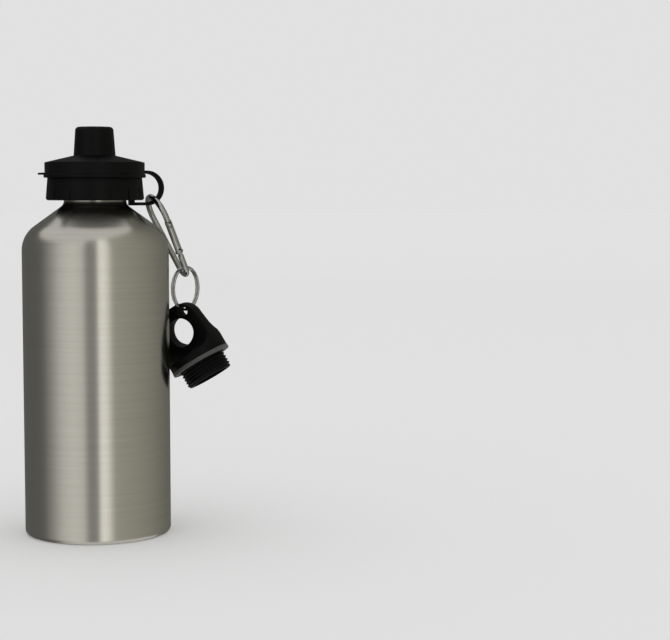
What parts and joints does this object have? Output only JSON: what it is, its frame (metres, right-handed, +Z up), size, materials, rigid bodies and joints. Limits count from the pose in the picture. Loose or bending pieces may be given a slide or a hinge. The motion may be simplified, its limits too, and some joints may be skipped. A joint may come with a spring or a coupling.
{
  "type": "stainless steel water bottle",
  "caption": "Brushed steel drinking bottle with a push-pull sports cap under a tethered dust cover, and a carabiner that carries a spare loop cap.",
  "frame": {"origin": "centre of the base's standing face, on the bottle's axis", "axes": "+Z up along the bottle's axis; the tether leaves the neck 17 degrees behind +X; -Y faces the viewer of the picture"},
  "size_m": [0.1046, 0.073, 0.2037],
  "materials": {
    "steel": "brushed",
    "insert_plastic": "matte",
    "black_plastic": "matte",
    "white_plastic": "gloss",
    "grey_silicone": "matte",
    "black_strap": "matte",
    "bright_metal": "polished",
    "dark_steel": "satin"
  },
  "bodies": {
    "bottle": {"bottle_shell": "steel", "base_pan": "steel", "neck_insert": "insert_plastic"},
    "cap_lift": {"cap_gasket": "grey_silicone"},
    "cap": {"screw_cap": "black_plastic", "threaded_plug": "black_plastic", "spout_seal": "grey_silicone", "spout_base": "white_plastic"},
    "nozzle": {"pull_nozzle": "white_plastic"},
    "tether": {"neck_ring": "black_strap", "tether_strap": "black_strap"},
    "cover": {"dust_cover": "black_plastic"},
    "carabiner": {"carabiner_frame": "bright_metal", "gate_rivet": "dark_steel"},
    "gate": {"carabiner_gate": "bright_metal", "latch_pin": "bright_metal", "gate_plunger": "dark_steel", "gate_spring": "dark_steel"},
    "ring": {"split_ring": "bright_metal"},
    "spare_cap": {"loop_cap": "black_plastic", "loop_cap_gasket": "grey_silicone"}
  },
  "joints": [
    {"name": "cap_rise", "type": "slide", "parent": "bottle", "child": "cap_lift", "axis": [0, 0, 1], "range_m": [0, 0.00875]},
    {"name": "cap_turn", "type": "hinge", "parent": "cap_lift", "child": "cap", "pos_m": [0, 0, 0], "axis": [0, 0, 1], "range_deg": [0, 1801]},
    {"name": "nozzle_pull", "type": "slide", "parent": "cap", "child": "nozzle", "axis": [0, 0, 1], "range_m": [0, 0.0038]},
    {"name": "tether_swivel", "type": "hinge", "parent": "cap_lift", "child": "tether", "pos_m": [0, 0, 0], "axis": [0, 0, 1], "continuous": true},
    {"name": "cover_lift", "type": "slide", "parent": "tether", "child": "cover", "axis": [0, 0, 1], "range_m": [0, 0.025], "deforming": ["tether_strap"]},
    {"name": "carabiner_swing", "type": "hinge", "parent": "tether", "child": "carabiner", "pos_m": [0.02776, 0.00849, 0.16881], "axis": [0.2924, -0.9563, 0], "range_deg": [0, 60]},
    {"name": "gate_swing", "type": "hinge", "parent": "carabiner", "child": "gate", "pos_m": [0.04202, 0.0061, 0.14116], "axis": [-0.8662, -0.2648, -0.4237], "range_deg": [0, 24], "stiffness_Nm_per_rad": 0.01},
    {"name": "split_ring_swing", "type": "hinge", "parent": "carabiner", "child": "ring", "pos_m": [0.04543, 0.01389, 0.12932], "axis": [0.2924, -0.9563, 0], "range_deg": [0, 45]},
    {"name": "loop_cap_swing", "type": "hinge", "parent": "ring", "child": "spare_cap", "pos_m": [0.04543, 0.01389, 0.11097], "axis": [-0.6157, -0.788, 0], "range_deg": [0, 35]}
  ],
  "couplings": [
    {"joint": "cap_turn", "follows": "cap_rise", "rad_per_m": 3590.4}
  ]
}
